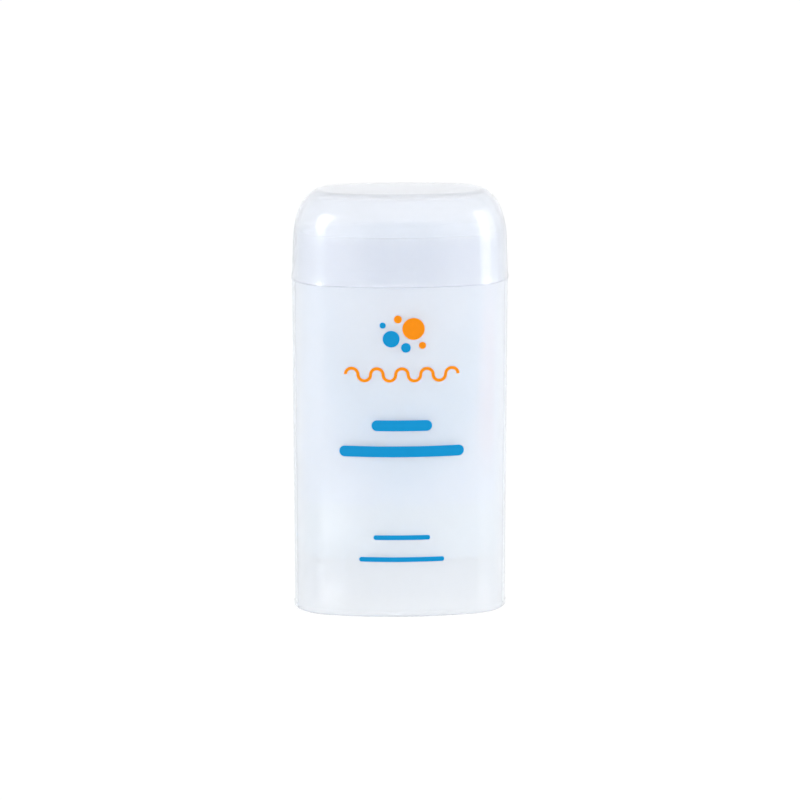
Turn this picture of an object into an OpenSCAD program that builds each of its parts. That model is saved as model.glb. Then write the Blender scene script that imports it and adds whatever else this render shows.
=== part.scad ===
// Oval push-up stick: a barrel open at the base, an elevator that a fingertip pushes up inside
// it, the cast stick that stands on the elevator, and a lift-off cap over the neck.
// The origin is the centre of the base, +Z is up and the printed front faces -Y.

/* [Body] */
// Width over the shoulder
body_w = 48.6; // [44:0.2:54]
// Depth over the shoulder
body_d = 24.6; // [22.6:0.2:28]
// Height from the base to the shoulder
body_h = 75.9; // [68:0.1:90]
// How far each side has come in at the base
body_in = 0.39; // [0:0.01:0.5]
// Height of the foot rim
foot_h = 1.2; // [0.8:0.1:2]
// How far the foot rim stands out
foot_out = 0.12; // [0.04:0.02:0.3]
// Broken edges of the base, the shoulder and the neck
edge_break = 0.25; // [0.1:0.05:0.35]

/* [Neck] */
// Height of the neck above the shoulder
neck_h = 11; // [8:0.2:13]
// Wall of the neck at the shoulder
neck_wall = 1.15; // [0.9:0.05:1.4]
// How far each side of the neck has come in at its rim
neck_in = 0.45; // [0.35:0.05:0.5]
// Height of the friction bead above the shoulder
bead_up = 4; // [2.5:0.5:6]
// How far the friction bead stands out
bead_out = 0.1; // [0.04:0.02:0.14]
// Height of the ramp above and below the friction bead
bead_ramp = 0.8; // [0.4:0.1:1.5]
// Height of the friction bead's face
bead_face = 0.4; // [0.2:0.1:0.8]

/* [Cap] */
// Height of the cap
cap_h = 20.3; // [19:0.1:26]
// Wall of the cap at its rim
cap_wall = 1; // [0.8:0.1:1.6]
// Wall of the cap's top
cap_top = 1.2; // [0.9:0.1:2]
// Running gap between the cap and the neck
cap_gap = 0.2; // [0.16:0.02:0.3]
// How far the cap's rim stands proud of the body
cap_proud = 0.15; // [0:0.05:0.3]
// How far the cap's outside has come in at the foot of its crown
cap_in = 0.4; // [0.3:0.05:0.5]
// How far the cap's inside has come in at the foot of its crown
cap_bore_in = 0.25; // [0.15:0.05:0.3]
// Height of the crown, where the two ends start to round over
crown_h = 12; // [9:0.5:13]
// How far the crown comes in at the two ends
crown_in = 6.4; // [5:0.2:8]
// Radius of the crown along the front and the back
crown_side_r = 5.5; // [3:0.5:6]

/* [Elevator] */
// Height of the stop bead's top above the base, where the skirt rests
rest_up = 12.9; // [8:0.1:18]
// How far the stop bead reaches into the bore
stop_in = 0.9; // [0.7:0.1:1.4]
// Height of the stop bead's face
stop_h = 0.6; // [0.4:0.1:1.2]
// Height of the elevator, from the skirt's foot to the platform's top
elevator_h = 12.7; // [9:0.1:16]
// Thickness of the platform
platform_t = 1.3; // [1:0.1:2]
// Wall of the skirt
skirt_wall = 1; // [0.7:0.1:1.4]
// Gap between the skirt and the bore
skirt_gap = 0.45; // [0.35:0.05:0.6]
// Gap between the wiper lips and the bore
lip_gap = 0.15; // [0.1:0.05:0.25]
// Height of a wiper lip
lip_h = 1; // [0.7:0.1:1.5]
// Thickness of the ribs under the platform
rib_t = 0.8; // [0.6:0.1:1.2]
// Depth of the ribs under the platform
rib_h = 2.6; // [1.5:0.1:4]
// Distance between the cross ribs
rib_pitch = 9; // [6:0.5:12]
// Distance of the anchor ring from the platform's edge
anchor_inset = 4; // [3:0.5:5]
// Height of the anchor ring
anchor_h = 3.2; // [2:0.2:5]
// Thickness of the anchor ring's web
anchor_t = 1; // [0.8:0.1:1.4]
// How far the anchor ring's lip overhangs its web
anchor_lip = 0.5; // [0.3:0.1:0.8]

/* [Stick] */
// Gap between the stick and the bore
stick_gap = 0.2; // [0.1:0.05:0.4]
// Distance of the stick's upper edge below the neck's rim
stick_drop = 0.5; // [0.2:0.1:2]
// Depth of the dish that cooling leaves in the stick's top
dish_deep = 0.6; // [0.2:0.1:1.2]
// Width of the slope between the stick's edge and the dish's floor
dish_slope = 5; // [3:0.5:6]

/* [Print] */
// Thickness of the ink
ink_t = 0.06; // [0.04:0.01:0.12]
// Height of the bubble group's middle below the shoulder
bubble_down = 10.7; // [9:0.1:14]
// Radius of the largest bubble, which sets the size of the whole group
bubble_r = 2.5; // [1.8:0.1:2.8]
// Height of the wavy line below the shoulder
wave_down = 19.8; // [18.5:0.1:26]
// Number of half waves
wave_count = 9; // [5:2:11]
// Radius of each half wave
wave_r = 1.4; // [1:0.1:1.6]
// Width of the wavy line
wave_t = 0.7; // [0.4:0.1:1]
// Height of the two thick bars
bar_h = 2.5; // [1.5:0.1:4]
// Length of the upper thick bar
bar_1_w = 13.6; // [6:0.2:28]
// Height of its middle below the shoulder
bar_1_down = 31.5; // [28:0.1:33]
// Length of the lower thick bar
bar_2_w = 28; // [6:0.2:28]
// Height of its middle below the shoulder
bar_2_down = 37.5; // [37:0.1:44]
// Height of the two thin bars
thin_bar_h = 1.1; // [0.6:0.1:2]
// Length of the upper thin bar
bar_3_w = 12.8; // [6:0.2:28]
// Height of its middle below the shoulder
bar_3_down = 57.4; // [50:0.1:59]
// Length of the lower thin bar
bar_4_w = 19.2; // [6:0.2:28]
// Height of its middle below the shoulder
bar_4_down = 62.5; // [62:0.1:64]

/* [Hidden] */
$fn = 160;
// Steps along each arc of the cap's plan, and levels of its crown
arc_steps = 16;
crown_steps = 12;
// A size past everything, for cutting solids, and a slice too thin to see
far = 200;
sliver = 0.01;
// Sweep of a side, before its ends are cut off at the seams
side_sweep = 60;

// The plan is an oval of four arcs: two ends of radius end_r and two sides of radius side_r.
// The centre of an end and that of a side lie on one line with the seam between the two arcs.
// That line slopes as 7 : 24 : 25, and its length is rounded, so that every seam is exact.
seam_x = 0.28;
seam_y = 0.96;
half_w = body_w / 2;
half_d = body_d / 2;
centres_apart = round(100 * (half_w - half_d) / (seam_x + seam_y - 1)) / 100;
end_x = seam_x * centres_apart;
side_y = seam_y * centres_apart;
end_r = half_w - end_x;
side_r = centres_apart + end_r;

// Sections are drawn with x as the distance outwards from the shoulder's oval, and y as height.
// A section that fills the oval reaches in to middle_x, which is past the plan's middle.
neck_x = cap_proud - cap_wall - cap_gap;
bore_x = neck_x - neck_wall;
rim_z = body_h + neck_h;
platform_z = rest_up + elevator_h;
middle_x = -1.1 * half_d;
skirt_x = bore_x - skirt_gap;
stick_top = rim_z - stick_drop;
function body_x(z) = -body_in * (1 - z / body_h);
function neck_x_at(up) = neck_x - neck_in * up / neck_h;

// A point far outside on the line from the end's centre through the seam
seam_out = [end_x + far * seam_x, far * seam_y];

// Turns one section along a side of the oval: 0 is the back and 180 the front
module side_sector(turn) {
    rotate(turn)
        intersection() {
            translate([0, -side_y, 0])
                rotate_extrude(angle = side_sweep, start = 90 - side_sweep / 2)
                    translate([side_r, 0]) children();
            translate([0, 0, -far])
                linear_extrude(2 * far)
                    polygon([
                        [-end_x, 0],
                        [end_x, 0],
                        [seam_out.x, seam_out.y],
                        [-seam_out.x, seam_out.y],
                    ]);
        }
}

// A solid with one section all the way round the oval: the two ends are full turns, and the two
// sides lie between the seams. At each height its section fills from past the middle outwards.
module solid_oval() {
    for (end = [-1, 1])
        translate([end * end_x, 0, 0])
            rotate_extrude()
                intersection() {
                    translate([end_r, 0]) children();
                    translate([0, -far]) square([far, 2 * far]);
                }
    for (turn = [0, 180])
        side_sector(turn) children();
}

// The first child turned into a solid oval, hollowed by the second
module hollow_oval() {
    difference() {
        solid_oval() children(0);
        solid_oval() children(1);
    }
}

// A section that fills the oval up to x_out, from one height to another
module filled(x_out, z_low, z_high) {
    translate([middle_x, z_low]) square([x_out - middle_x, z_high - z_low]);
}

// Barrel's outside: foot rim, drafted wall, shoulder, and neck with its friction bead
module barrel_outside() {
    bead_z = body_h + bead_up;
    bead_half = bead_face / 2 + bead_ramp;
    polygon([
        [middle_x, 0],
        [body_x(0) + foot_out - edge_break, 0],
        [body_x(0) + foot_out, edge_break],
        [body_x(foot_h) + foot_out, foot_h],
        [body_x(foot_h + 2 * foot_out), foot_h + 2 * foot_out],
        [body_x(body_h - edge_break), body_h - edge_break],
        [-edge_break, body_h],
        [neck_x, body_h],
        [neck_x_at(bead_up - bead_half), bead_z - bead_half],
        [neck_x_at(bead_up) + bead_out, bead_z - bead_face / 2],
        [neck_x_at(bead_up) + bead_out, bead_z + bead_face / 2],
        [neck_x_at(bead_up + bead_half), bead_z + bead_half],
        [neck_x_at(neck_h - edge_break), rim_z - edge_break],
        [neck_x_at(neck_h) - edge_break, rim_z],
        [middle_x, rim_z],
    ]);
}

// Barrel's inside: a straight bore with broken edges and the stop bead that the skirt rests on
module barrel_inside() {
    polygon([
        [middle_x, -far],
        [bore_x + edge_break, -far],
        [bore_x + edge_break, 0],
        [bore_x, edge_break],
        [bore_x, rest_up - stop_h - 2 * stop_in],
        [bore_x - stop_in, rest_up - stop_h],
        [bore_x - stop_in, rest_up],
        [bore_x, rest_up],
        [bore_x, rim_z - edge_break],
        [bore_x + edge_break, rim_z],
        [bore_x + edge_break, far],
        [middle_x, far],
    ]);
}

// Barrel: one moulding, open at both ends
module barrel() {
    color([0.88, 0.92, 0.97, 0.45])
        hollow_oval() {
            barrel_outside();
            barrel_inside();
        }
}

// A wiper lip that leans outwards from the skirt, with its free edge at height z
module wiper_lip(z, lean) {
    polygon([
        [skirt_x - skirt_wall / 2, z],
        [bore_x - lip_gap, z],
        [bore_x - lip_gap, z + lean * lip_h / 3],
        [skirt_x, z + lean * lip_h],
        [skirt_x - skirt_wall / 2, z + lean * lip_h],
    ]);
}

// The ring that keys the cast stick to the platform: an upright web with a lip on both sides
module anchor_ring() {
    web_x = skirt_x - anchor_inset;
    top_z = platform_z + anchor_h;
    hollow_oval() {
        union() {
            filled(web_x, platform_z - platform_t / 2, top_z);
            filled(web_x + anchor_lip, top_z - anchor_t, top_z);
        }
        union() {
            filled(web_x - anchor_t, rest_up, top_z - anchor_t);
            filled(web_x - anchor_t - anchor_lip, top_z - anchor_t, far);
        }
    }
}

// Ribs under the platform: one along the middle and three across it
module platform_ribs() {
    rib_z = platform_z - platform_t - rib_h;
    intersection() {
        union() {
            translate([-far / 2, -rib_t / 2, rib_z])
                cube([far, rib_t, rib_h + platform_t / 2]);
            for (x = [-rib_pitch, 0, rib_pitch])
                translate([x - rib_t / 2, -far / 2, rib_z])
                    cube([rib_t, far, rib_h + platform_t / 2]);
        }
        solid_oval() filled(skirt_x - skirt_wall / 2, rest_up, platform_z);
    }
}

// Elevator: a cup turned down, whose skirt slides in the bore on two wiper lips
module elevator() {
    color([0.93, 0.95, 0.98, 0.7])
        union() {
            hollow_oval() {
                union() {
                    filled(skirt_x, rest_up, platform_z);
                    wiper_lip(rest_up, 1);
                    wiper_lip(platform_z, -1);
                }
                filled(skirt_x - skirt_wall, -far, platform_z - platform_t);
            }
            anchor_ring();
            platform_ribs();
        }
}

// Stick: cast into the barrel on top of the elevator, with a dish left by cooling
module product_stick() {
    stick_x = bore_x - stick_gap;
    dish_x = stick_x - edge_break;
    color([0.93, 0.95, 0.97, 0.9])
        difference() {
            hollow_oval() {
                polygon([
                    [middle_x, platform_z],
                    [stick_x, platform_z],
                    [stick_x, stick_top - edge_break],
                    [dish_x, stick_top],
                    [middle_x, stick_top],
                ]);
                polygon([
                    [middle_x, stick_top - dish_deep],
                    [dish_x - dish_slope, stick_top - dish_deep],
                    [dish_x - dish_slope / 2, stick_top - dish_deep * 0.8],
                    [dish_x - dish_slope / 4, stick_top - dish_deep / 2],
                    [dish_x, stick_top],
                    [dish_x, far],
                    [middle_x, far],
                ]);
            }
            anchor_ring();
        }
}

// Points of one arc, without its last point, which the next arc starts with
function arc_points(centre, r, from, to) = [
    for (i = [0:arc_steps - 1])
        let (angle = from + (to - from) * i / arc_steps)
            centre + r * [cos(angle), sin(angle)]
];

// Points of a four-arc oval of half width a, half depth b and end radius r
function oval_points(a, b, r) =
    let (
        x = a - r,
        big = (x * x + b * b - r * r) / (2 * (b - r)),
        lean = atan2(x, big - b)
    )
    concat(
        arc_points([x, 0], r, lean - 90, 90 - lean),
        arc_points([0, b - big], big, 90 - lean, 90 + lean),
        arc_points([-x, 0], r, 90 + lean, 270 - lean),
        arc_points([0, big - b], big, 270 - lean, 270 + lean)
    );

// How far a quarter ellipse of the given width and height has come in, at a height below its top
function edge_in(w, h, below_top) =
    below_top >= h ? 0 : w - w * sqrt(1 - pow(1 - below_top / h, 2));

// Cap's form: level slices from the rim to the top, whose edge is a quarter ellipse at the two
// ends, end_w wide and end_h high, and a quarter circle of radius side_edge along the sides
module cap_form(rim_x, upper_x, top_z, end_w, end_h, side_edge) {
    hull() {
        translate([0, 0, body_h])
            linear_extrude(sliver)
                polygon(oval_points(half_w + rim_x, half_d + rim_x, end_r + rim_x));
        for (step = [0:crown_steps])
            let (
                below_top = end_h * (1 - sin(90 * step / crown_steps)),
                in_w = edge_in(end_w, end_h, below_top) - upper_x,
                in_d = edge_in(side_edge, side_edge, below_top) - upper_x,
                plan_r = (end_r + upper_x) * (half_d - in_d) / (half_d + upper_x)
            )
            translate([0, 0, top_z - below_top - sliver])
                linear_extrude(sliver)
                    polygon(oval_points(half_w - in_w, half_d - in_d, plan_r));
    }
}

// Cap: one thin moulding that slides over the neck and rests on the shoulder
module cap() {
    color([0.9, 0.93, 0.98, 0.4])
        difference() {
            cap_form(
                cap_proud,
                cap_proud - cap_in,
                body_h + cap_h,
                crown_in,
                crown_h,
                crown_side_r
            );
            translate([0, 0, -sliver])
                cap_form(
                    cap_proud - cap_wall,
                    cap_proud - cap_wall - cap_bore_in,
                    body_h + cap_h - cap_top,
                    crown_in - cap_wall,
                    crown_h - cap_top,
                    crown_side_r - cap_wall
                );
        }
}

// Lays a flat pattern on the barrel's front as a layer of ink, y = 0 at the shoulder
module ink() {
    intersection() {
        side_sector(180)
            polygon([
                [body_x(0), 0],
                [body_x(0) + ink_t, 0],
                [ink_t, body_h],
                [0, body_h],
            ]);
        translate([0, 0, body_h])
            rotate([90, 0, 0]) linear_extrude(-middle_x) children();
    }
}

// A bar with round ends
module bar(w, h, down) {
    translate([0, -down]) {
        square([w - h, h], center = true);
        for (end = [-1, 1])
            translate([end * (w - h) / 2, 0]) circle(d = h);
    }
}

// A row of half rings that turn up and down in turn
module wave() {
    pitch = 2 * wave_r;
    for (i = [0:wave_count - 1])
        translate([(i - (wave_count - 1) / 2) * pitch, -wave_down])
            rotate(i % 2 == 0 ? 0 : 180)
                intersection() {
                    difference() {
                        circle(r = wave_r + wave_t / 2);
                        circle(r = wave_r - wave_t / 2);
                    }
                    translate([-far, 0]) square([2 * far, far]);
                }
}

// A group of bubbles, each given as x, y and radius in shares of the largest one's radius
module bubbles(group) {
    for (bubble = bubble_r * group)
        translate([bubble.x, bubble.y - bubble_down]) circle(r = bubble.z);
}

module print_orange() {
    color([0.96, 0.55, 0.0])
        ink() {
            bubbles([[1.04, 0.56, 1], [-0.36, 1.44, 0.36], [1.84, -0.96, 0.32]]);
            wave();
        }
}

module print_blue() {
    color([0.0, 0.56, 0.82])
        ink() {
            bubbles([[-0.96, -0.36, 0.76], [0.36, -1.16, 0.44], [-1.72, 0.88, 0.28]]);
            bar(bar_1_w, bar_h, bar_1_down);
            bar(bar_2_w, bar_h, bar_2_down);
            bar(bar_3_w, thin_bar_h, bar_3_down);
            bar(bar_4_w, thin_bar_h, bar_4_down);
        }
}

barrel();
print_orange();
print_blue();
elevator();
product_stick();
cap();
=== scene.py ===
from math import atan2, cos, pi, radians, sin, sqrt

import bmesh
import bpy
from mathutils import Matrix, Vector


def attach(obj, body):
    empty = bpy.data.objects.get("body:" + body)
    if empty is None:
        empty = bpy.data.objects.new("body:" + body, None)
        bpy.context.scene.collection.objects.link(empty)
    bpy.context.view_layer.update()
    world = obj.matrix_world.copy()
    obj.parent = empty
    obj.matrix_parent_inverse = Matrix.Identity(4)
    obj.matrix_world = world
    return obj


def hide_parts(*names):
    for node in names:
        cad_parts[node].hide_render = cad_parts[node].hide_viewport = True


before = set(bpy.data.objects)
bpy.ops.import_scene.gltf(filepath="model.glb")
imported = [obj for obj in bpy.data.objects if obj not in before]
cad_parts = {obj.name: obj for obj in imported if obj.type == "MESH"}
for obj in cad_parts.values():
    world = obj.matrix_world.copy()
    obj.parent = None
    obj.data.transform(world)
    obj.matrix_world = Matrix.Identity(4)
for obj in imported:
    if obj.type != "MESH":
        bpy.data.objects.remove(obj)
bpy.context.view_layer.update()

# Camera. A long lens stands a metre and a quarter away, a touch to the left of the printed
# front, and high enough to look down on the base by 15 degrees, as the photograph does.
mm = 0.001
camera_yaw = radians(2.0)
camera_away = 1199 * mm
camera_high = 324 * mm
aim_high = 47.54 * mm

camera = bpy.data.objects.new("camera", bpy.data.cameras.new("camera"))
camera.data.lens = 245
camera.data.sensor_width = 36
camera.data.clip_end = 20
camera.location = (-camera_away * sin(camera_yaw), -camera_away * cos(camera_yaw), camera_high)
sight = Vector((0, 0, aim_high)) - camera.location
camera.rotation_euler = sight.to_track_quat("-Z", "Y").to_euler()
bpy.context.scene.collection.objects.link(camera)
bpy.context.scene.camera = camera

# Barrel. One injection moulding in natural polypropylene with a satin outside: a straight bore,
# an outer wall that leans out towards the shoulder, a foot rim and a thin neck for the cap.
end_x = 14.0 * mm
end_r = 10.3 * mm
side_y = 48.0 * mm
seam_angle = atan2(end_x, side_y)
end_steps = 40
side_steps = 28
merge_gap = 1e-6
sharp_angle = radians(50)

# These are in mm: heights, and reach outwards from the shoulder's oval.
body_h = 75.9
foot_h = 1.2
base_in = 0.39
foot_out = 0.12
rim_z = 86.9
neck_out = -1.05
neck_rim_out = -1.5
neck_bead = [(-1.173, 2.8), (-1.114, 3.8), (-1.114, 4.2), (-1.255, 5.0)]
bore_out = -2.2
edge = 0.25
shoulder_edge = 0.1
stop_z = 12.9
stop_depth = 0.9
stop_lip = 0.6
stop_foot = 2.4


def piece_from(bm, name):
    """Makes an object of a finished bmesh, smooth apart from its sharp edges."""
    bmesh.ops.remove_doubles(bm, verts=bm.verts, dist=merge_gap)
    bmesh.ops.recalc_face_normals(bm, faces=bm.faces)
    mesh = bpy.data.meshes.new(name)
    bm.to_mesh(mesh)
    bm.free()
    mesh.shade_smooth()
    mesh.set_sharp_from_angle(angle=sharp_angle)
    piece = bpy.data.objects.new(name, mesh)
    bpy.context.scene.collection.objects.link(piece)
    even = piece.modifiers.new("even_shading", "WEIGHTED_NORMAL")
    even.keep_sharp = True
    return piece


def spin_round_oval(bm, moving, end_centre, side_centre, lean):
    """Spins geometry once round an oval of two small end arcs and two large side arcs."""
    for centre, angle, steps in (
        ((end_centre, 0, 0), pi - 2 * lean, end_steps),
        ((0, -side_centre, 0), 2 * lean, side_steps),
        ((-end_centre, 0, 0), pi - 2 * lean, end_steps),
        ((0, side_centre, 0), 2 * lean, side_steps),
    ):
        turned = bmesh.ops.spin(bm, geom=moving, cent=centre, axis=(0, 0, 1), angle=angle, steps=steps)
        moving = turned["geom_last"]


def sweep_round_oval(bm, section, closed):
    """Carries a section, given as (outwards from the shoulder's oval, up) in mm, round the oval."""
    points = []
    for out, up in section:
        reach = end_r + out * mm
        points.append(bm.verts.new((end_x + reach * sin(seam_angle), -reach * cos(seam_angle), up * mm)))
    following = points[1:] + (points[:1] if closed else [])
    lines = [bm.edges.new(pair) for pair in zip(points, following)]
    spin_round_oval(bm, points + lines, end_x, side_y, seam_angle)
    bmesh.ops.remove_doubles(bm, verts=bm.verts, dist=merge_gap)


def wall_out(up):
    """How far the outer wall lies outside the shoulder's oval at a height, in mm."""
    return -base_in * (1 - up / body_h)


barrel_section = [
    (wall_out(0) + foot_out - edge, 0),
    (wall_out(0) + foot_out, edge),
    (wall_out(foot_h) + foot_out, foot_h),
    (wall_out(foot_h + 2 * foot_out), foot_h + 2 * foot_out),
    (wall_out(body_h - shoulder_edge), body_h - shoulder_edge),
    (-shoulder_edge, body_h),
    (neck_out, body_h),
    *[(out, body_h + up) for out, up in neck_bead],
    (neck_rim_out, rim_z - edge),
    (neck_rim_out - edge, rim_z),
    (bore_out + edge, rim_z),
    (bore_out, rim_z - edge),
    (bore_out, stop_z),
    (bore_out - stop_depth, stop_z),
    (bore_out - stop_depth, stop_z - stop_lip),
    (bore_out, stop_z - stop_foot),
    (bore_out, edge),
    (bore_out + edge, 0),
]
bm = bmesh.new()
sweep_round_oval(bm, barrel_section, closed=True)
barrel = piece_from(bm, "barrel_shell")


def plastic(name, colour, roughness, transmission, skin, skin_roughness, grain_scale, grain_depth):
    """A moulded plastic: cloudy inside, under a smoother skin with a fine grain."""
    cloud_shade = 0.985
    least_satin = 0.85
    most_satin = 1.15
    material = bpy.data.materials.new(name)
    material.use_nodes = True
    nodes = material.node_tree.nodes
    links = material.node_tree.links
    shader = nodes["Principled BSDF"]
    shader.inputs["IOR"].default_value = 1.49
    shader.inputs["Transmission Weight"].default_value = transmission
    shader.inputs["Coat Weight"].default_value = skin
    shader.inputs["Coat Roughness"].default_value = skin_roughness
    shader.inputs["Coat IOR"].default_value = 1.65
    place = nodes.new("ShaderNodeTexCoord")
    clouds = nodes.new("ShaderNodeTexNoise")
    clouds.inputs["Scale"].default_value = 60
    clouds.inputs["Detail"].default_value = 3
    tint = nodes.new("ShaderNodeMix")
    tint.data_type = "RGBA"
    tint.inputs["A"].default_value = (*[c * cloud_shade for c in colour], 1)
    tint.inputs["B"].default_value = (*colour, 1)
    satin = nodes.new("ShaderNodeMapRange")
    satin.inputs["To Min"].default_value = roughness * least_satin
    satin.inputs["To Max"].default_value = roughness * most_satin
    grain = nodes.new("ShaderNodeTexNoise")
    grain.inputs["Scale"].default_value = grain_scale
    grain.inputs["Detail"].default_value = 2
    bump = nodes.new("ShaderNodeBump")
    bump.inputs["Strength"].default_value = 0.3
    bump.inputs["Distance"].default_value = grain_depth
    links.new(place.outputs["Object"], clouds.inputs["Vector"])
    links.new(place.outputs["Object"], grain.inputs["Vector"])
    links.new(clouds.outputs["Fac"], tint.inputs["Factor"])
    links.new(tint.outputs["Result"], shader.inputs["Base Color"])
    links.new(clouds.outputs["Fac"], satin.inputs["Value"])
    links.new(satin.outputs["Result"], shader.inputs["Roughness"])
    links.new(grain.outputs["Fac"], bump.inputs["Height"])
    links.new(bump.outputs["Normal"], shader.inputs["Normal"])
    return material


frosted_barrel = plastic(
    "frosted_barrel", colour=(0.955, 0.965, 0.99), roughness=0.2, transmission=0.6,
    skin=1.0, skin_roughness=0.15, grain_scale=2500, grain_depth=0.01 * mm,
)
barrel.data.materials.append(frosted_barrel)
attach(barrel, "barrel")
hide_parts("barrel")

# Elevator. A second polypropylene moulding inside the barrel: a platform on a tall skirt, with
# a wiper lip at each end of the skirt, and ribs underneath where the fingertip pushes.
elevator_plastic = plastic(
    "elevator_plastic", colour=(0.94, 0.99, 1.0), roughness=0.3, transmission=0.1,
    skin=0.0, skin_roughness=0.2, grain_scale=2500, grain_depth=0.01 * mm,
)
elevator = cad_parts["elevator"]
elevator.data.materials.clear()
elevator.data.materials.append(elevator_plastic)

# Stick. The cast product fills the barrel above the platform: waxy, a little cloudy, with a
# softened upper edge and a shallow dish that cooling left in its top.
platform_z = 25.6
stick_top = 86.4
stick_out = bore_out - 0.2
foot_ring_in = 1.5
dish = [(1.25, 0.3), (2.5, 0.48), (5, 0.6)]
stick_section = [
    (stick_out - foot_ring_in, platform_z),
    (stick_out, platform_z),
    (stick_out, stick_top - edge),
    (stick_out - edge, stick_top),
    *[(stick_out - edge - inwards, stick_top - down) for inwards, down in dish],
]
bm = bmesh.new()
sweep_round_oval(bm, stick_section, closed=False)
bmesh.ops.holes_fill(bm, edges=[e for e in bm.edges if e.is_boundary], sides=0)
stick = piece_from(bm, "cast_stick")
cast_stick = plastic(
    "cast_stick", colour=(0.855, 0.905, 0.965), roughness=0.35, transmission=0.0,
    skin=0.0, skin_roughness=0.3, grain_scale=900, grain_depth=0.02 * mm,
)
stick.data.materials.append(cast_stick)
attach(stick, "stick")
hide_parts("product_stick")


# Print. Two screen-printed inks on the barrel's front: bubbles and a wave in orange, bubbles
# and bars in blue. Each lies as a thin even layer on the curved wall.
def ink(name, colour):
    """A screen-printed ink: even, with a faint mottle and a soft gloss."""
    mottle_shade = 0.94
    material = bpy.data.materials.new(name)
    material.use_nodes = True
    nodes = material.node_tree.nodes
    links = material.node_tree.links
    shader = nodes["Principled BSDF"]
    shader.inputs["Roughness"].default_value = 0.4
    shader.inputs["Specular IOR Level"].default_value = 0.15
    place = nodes.new("ShaderNodeTexCoord")
    mottle = nodes.new("ShaderNodeTexNoise")
    mottle.inputs["Scale"].default_value = 700
    tint = nodes.new("ShaderNodeMix")
    tint.data_type = "RGBA"
    tint.inputs["A"].default_value = (*[c * mottle_shade for c in colour], 1)
    tint.inputs["B"].default_value = (*colour, 1)
    links.new(place.outputs["Object"], mottle.inputs["Vector"])
    links.new(mottle.outputs["Fac"], tint.inputs["Factor"])
    links.new(tint.outputs["Result"], shader.inputs["Base Color"])
    return material


for node, name, colour in (
    ("print_orange", "orange_ink", (0.93, 0.265, 0.0)),
    ("print_blue", "blue_ink", (0.0, 0.28, 0.6)),
):
    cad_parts[node].data.materials.clear()
    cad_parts[node].data.materials.append(ink(name, colour))

# Cap. A thin clear moulding that slides over the neck and rests on the shoulder. Its crown is
# rounded far down at the two ends and less along the front and the back, and its rim flares.
half_w = 24.3
half_d = 12.3
end_round = 10.3
cap_top = 96.2
cap_out = 0.15
cap_crown_out = -0.25
cap_wall = 1.0
cap_in = cap_out - cap_wall
cap_in_lean = 0.25
cap_roof = 1.2
crown_in = 6.4
crown_h = 12.0
crown_side = 5.5
crown_levels = 18
rim_edge = 0.05
rim_gap = 0.02
rim_slant = 0.02
flare_in = 0.19
flare_h = 1.7


def oval_loop(bm, out_w, out_d, round_r, up):
    """One level oval of four arcs, in mm, as a closed loop of edges."""
    oval_w = half_w + out_w
    oval_d = half_d + out_d
    x = oval_w - round_r
    side_round = (x * x + oval_d * oval_d - round_r * round_r) / (2 * (oval_d - round_r))
    lean = atan2(x, side_round - oval_d)
    old_verts = set(bm.verts)
    old_edges = set(bm.edges)
    first = bm.verts.new(((x + round_r * sin(lean)) * mm, -round_r * cos(lean) * mm, up * mm))
    spin_round_oval(bm, [first], x * mm, (side_round - oval_d) * mm, lean)
    bmesh.ops.remove_doubles(bm, verts=[v for v in bm.verts if v not in old_verts], dist=merge_gap)
    return [e for e in bm.edges if e not in old_edges]


def crown_shell(bm, rim_out, edge_out, upper_out, rim_up, top, end_w, end_h, side_edge):
    """One skin of the cap, from the soft edge of its rim over the crown to the flat top."""
    loops = []
    for out, up in (
        (edge_out, rim_up),
        (rim_out, rim_up + rim_edge),
        (rim_out - flare_in, rim_up + flare_h),
    ):
        loops.append(oval_loop(bm, out, out, end_round + out, up))
    for level in range(crown_levels + 1):
        below = end_h * (1 - sin(pi / 2 * level / crown_levels))
        in_w = end_w - end_w * sqrt(1 - (1 - below / end_h) ** 2)
        in_d = side_edge - sqrt(side_edge**2 - max(0, side_edge - below) ** 2)
        round_r = (end_round + upper_out) * (half_d + upper_out - in_d) / (half_d + upper_out)
        loops.append(oval_loop(bm, upper_out - in_w, upper_out - in_d, round_r, top - below))
    for lower, upper in zip(loops, loops[1:]):
        bmesh.ops.bridge_loops(bm, edges=lower + upper)
    bmesh.ops.contextual_create(bm, geom=loops[-1])
    return loops[0]


bm = bmesh.new()
outer_rim = crown_shell(
    bm, rim_out=cap_out, edge_out=cap_out - rim_edge, upper_out=cap_crown_out,
    rim_up=body_h + rim_gap, top=cap_top,
    end_w=crown_in, end_h=crown_h, side_edge=crown_side,
)
inner_rim = crown_shell(
    bm, rim_out=cap_in, edge_out=cap_in + rim_edge, upper_out=cap_in - cap_in_lean,
    rim_up=body_h + rim_gap + rim_slant, top=cap_top - cap_roof,
    end_w=crown_in - cap_wall, end_h=crown_h - cap_roof, side_edge=crown_side - cap_wall,
)
bmesh.ops.bridge_loops(bm, edges=outer_rim + inner_rim)
cap = piece_from(bm, "cap_shell")
clear_cap = plastic(
    "clear_cap", colour=(0.962, 0.972, 1.0), roughness=0.24, transmission=0.77,
    skin=0.8, skin_roughness=0.18, grain_scale=1200, grain_depth=0.005 * mm,
)
cap.data.materials.append(clear_cap)
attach(cap, "cap")
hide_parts("cap")

# Studio. A white floor and a white surround, a little dimmer for the light they give than for
# the camera, and for what shows in gloss and through plastic. Light bounces far in clear walls.
bpy.context.scene.view_settings.view_transform = "Standard"
light_paths = bpy.context.scene.cycles
light_paths.max_bounces = 32
light_paths.diffuse_bounces = 16
light_paths.glossy_bounces = 16
light_paths.transmission_bounces = 32
light_paths.blur_glossy = 0


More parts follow.
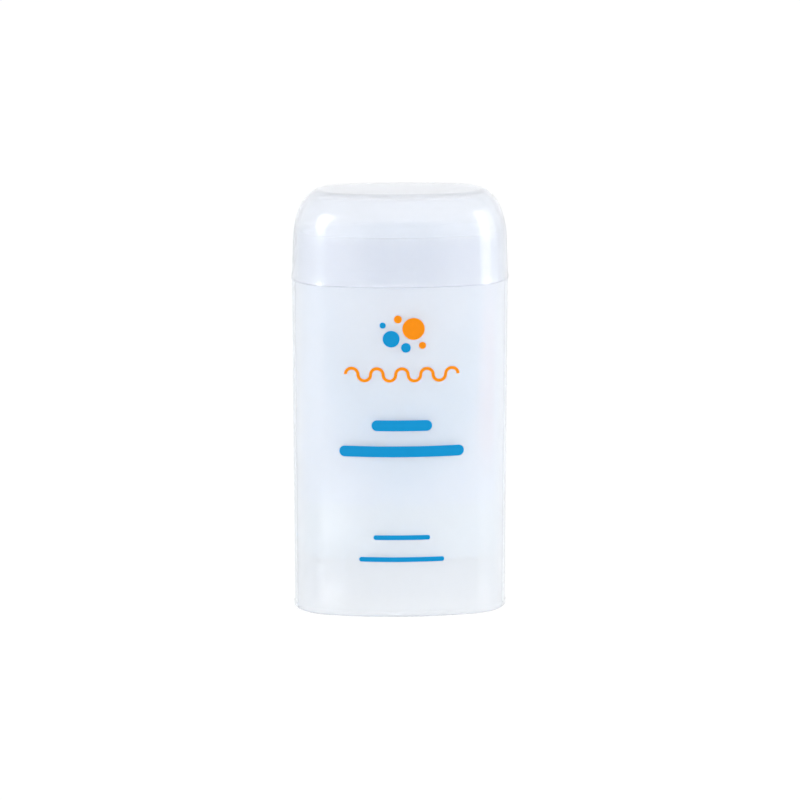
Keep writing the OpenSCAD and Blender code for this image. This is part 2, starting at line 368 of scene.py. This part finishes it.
def show_white(tree, lit, white, camera_share, inner_share):
    """Mixes white over a lit shader, by one share for the camera and one for gloss and plastic."""
    rays = tree.nodes.new("ShaderNodeLightPath")
    shares = []
    for kind, share in (
        ("Is Camera Ray", camera_share),
        ("Is Glossy Ray", inner_share),
        ("Is Transmission Ray", inner_share),
    ):
        part = tree.nodes.new("ShaderNodeMath")
        part.operation = "MULTIPLY"
        part.inputs[1].default_value = share
        tree.links.new(rays.outputs[kind], part.inputs[0])
        shares.append(part.outputs["Value"])
    seen = shares[0]
    for share in shares[1:]:
        either = tree.nodes.new("ShaderNodeMath")
        either.operation = "MAXIMUM"
        tree.links.new(seen, either.inputs[0])
        tree.links.new(share, either.inputs[1])
        seen = either.outputs["Value"]
    mix = tree.nodes.new("ShaderNodeMixShader")
    tree.links.new(seen, mix.inputs["Fac"])
    tree.links.new(lit, mix.inputs[1])
    tree.links.new(white, mix.inputs[2])
    return mix.outputs["Shader"]


floor_half = 3.0
bm = bmesh.new()
bmesh.ops.create_grid(bm, x_segments=2, y_segments=2, size=floor_half)
floor_mesh = bpy.data.meshes.new("floor")
bm.to_mesh(floor_mesh)
bm.free()
floor = bpy.data.objects.new("floor", floor_mesh)
bpy.context.scene.collection.objects.link(floor)
floor_paint = bpy.data.materials.new("floor_paint")
floor_paint.use_nodes = True
tree = floor_paint.node_tree
tree.nodes.remove(tree.nodes["Principled BSDF"])
paint = tree.nodes.new("ShaderNodeBsdfDiffuse")
paint.inputs["Color"].default_value = (0.9, 0.9, 0.9, 1)
white = tree.nodes.new("ShaderNodeEmission")
white.inputs["Strength"].default_value = 1.06
shown = show_white(
    tree, paint.outputs["BSDF"], white.outputs["Emission"], camera_share=0.85, inner_share=0.5
)
tree.links.new(shown, tree.nodes["Material Output"].inputs["Surface"])
floor.data.materials.append(floor_paint)

world = bpy.data.worlds.new("studio")
bpy.context.scene.world = world
world.use_nodes = True
tree = world.node_tree
sky = tree.nodes["Background"]
sky.inputs["Color"].default_value = (0.88, 0.92, 0.935, 1)
sky.inputs["Strength"].default_value = 0.895
white = tree.nodes.new("ShaderNodeBackground")
white.inputs["Color"].default_value = (1, 1, 1, 1)
shown = show_white(
    tree, sky.outputs["Background"], white.outputs["Background"], camera_share=1.0, inner_share=1.0
)
tree.links.new(shown, tree.nodes["World Output"].inputs["Surface"])

# Lamps. One large oval panel to the left, and a small panel, a close strip and a wide fill to
# the right. All face the middle of the stick. Places and sizes are in metres, powers in watts.
lamp_aim = Vector((0, 0, 0.09))
for name, shape, place, width, height, power in (
    ("left_panel", "ELLIPSE", (-0.77, -0.64, 0.25), 0.66, 0.46, 2.5),
    ("right_panel", "RECTANGLE", (0.906, -0.42, 0.18), 0.25, 0.2, 0.7),
    ("right_strip", "RECTANGLE", (0.269, -0.155, 0.13), 0.16, 0.22, 0.1),
    ("right_fill", "RECTANGLE", (0.6, -0.18, 0.17), 0.55, 0.42, 0.6),
):
    lamp = bpy.data.lights.new(name, "AREA")
    lamp.shape = shape
    lamp.size = width
    lamp.size_y = height
    lamp.energy = power
    panel = bpy.data.objects.new(name, lamp)
    panel.location = place
    panel.rotation_euler = (lamp_aim - Vector(place)).to_track_quat("-Z", "Y").to_euler()
    bpy.context.scene.collection.objects.link(panel)


# Cards. Glowing cards lie on the floor, seen by reflections alone: they are painted reflections.
# Dark tinted cards paint the darker tongue of shade, bright ones paint soft light spots. In mm.
card_up = 0.5 * mm
pool_points = 24


def painted_reflection_card(name, outline, shade):
    """A glowing card flat on the floor, which shows only as a painted reflection in the plastic."""
    bm = bmesh.new()
    bm.faces.new([bm.verts.new((x * mm, y * mm, card_up)) for x, y in outline])
    mesh = bpy.data.meshes.new(name)
    bm.to_mesh(mesh)
    bm.free()
    card = bpy.data.objects.new(name, mesh)
    bpy.context.scene.collection.objects.link(card)
    card.visible_camera = False
    card.visible_diffuse = False
    card.visible_transmission = False
    card.visible_shadow = False
    paint = bpy.data.materials.new(name + "_paint")
    paint.use_nodes = True
    tree = paint.node_tree
    tree.nodes.remove(tree.nodes["Principled BSDF"])
    # The card glows in its shade: dark shades paint shade and bright shades paint light into the gloss.
    glow = tree.nodes.new("ShaderNodeEmission")
    glow.inputs["Color"].default_value = (*shade, 1)
    tree.links.new(glow.outputs["Emission"], tree.nodes["Material Output"].inputs["Surface"])
    card.data.materials.append(paint)


# Dark and tinted cards in front and to the right: painted shade in the reflections, the darker tongue on
# the front and dimmer tones above it and at the right.
near_shade_card = [(0, -115), (-85, -170), (-200, -235), (-200, -258), (250, -258), (265, -205), (107, -157)]
upper_shade_card = [(-215, -262), (235, -262), (130, -322), (0, -338), (-125, -322)]
side_shade_card = [
    (109, -155), (267, -203), (262, -225), (305, -174),
    (339, -93), (349, -20), (168, -20), (132, -106),
]
far_shade_card = [(-140, -400), (-150, -830), (227, -830), (201, -400)]
# A bright card to the left: a painted soft light spot in the reflections on the cap and neck.
left_glow = [
    (-558, 49), (-485, -280), (-360, -429), (-192, -526),
    (-342, -940), (-643, -766), (-866, -500), (-996, 87),
]
for name, outline, shade in (
    ("near_shade_card", near_shade_card, (0.2, 0.48, 0.58)),
    ("upper_shade_card", upper_shade_card, (0.8, 0.55, 0.25)),
    ("side_shade_card", side_shade_card, (1.0, 0.5, 0.35)),
    ("far_shade_card", far_shade_card, (0.0, 0.1, 0.2)),
    ("left_glow", left_glow, (1.7, 1.7, 1.8)),
):
    painted_reflection_card(name, outline, shade)

# Small round bright cards: painted pools of light in the reflections, two of them near the foot.
for name, x, y, r, shade in (
    ("left_light_pool", -65, -78, 26, 1.7),
    ("right_light_pool", 91, -48, 26, 1.4),
    ("left_foot_light_pool", -27, -25, 8, 1.9),
    ("right_foot_light_pool", 33, -18, 8, 1.6),
):
    turns = [2 * pi * point / pool_points for point in range(pool_points)]
    outline = [(x + r * cos(turn), y + r * sin(turn)) for turn in turns]
    painted_reflection_card(name, outline, (shade, shade, shade))
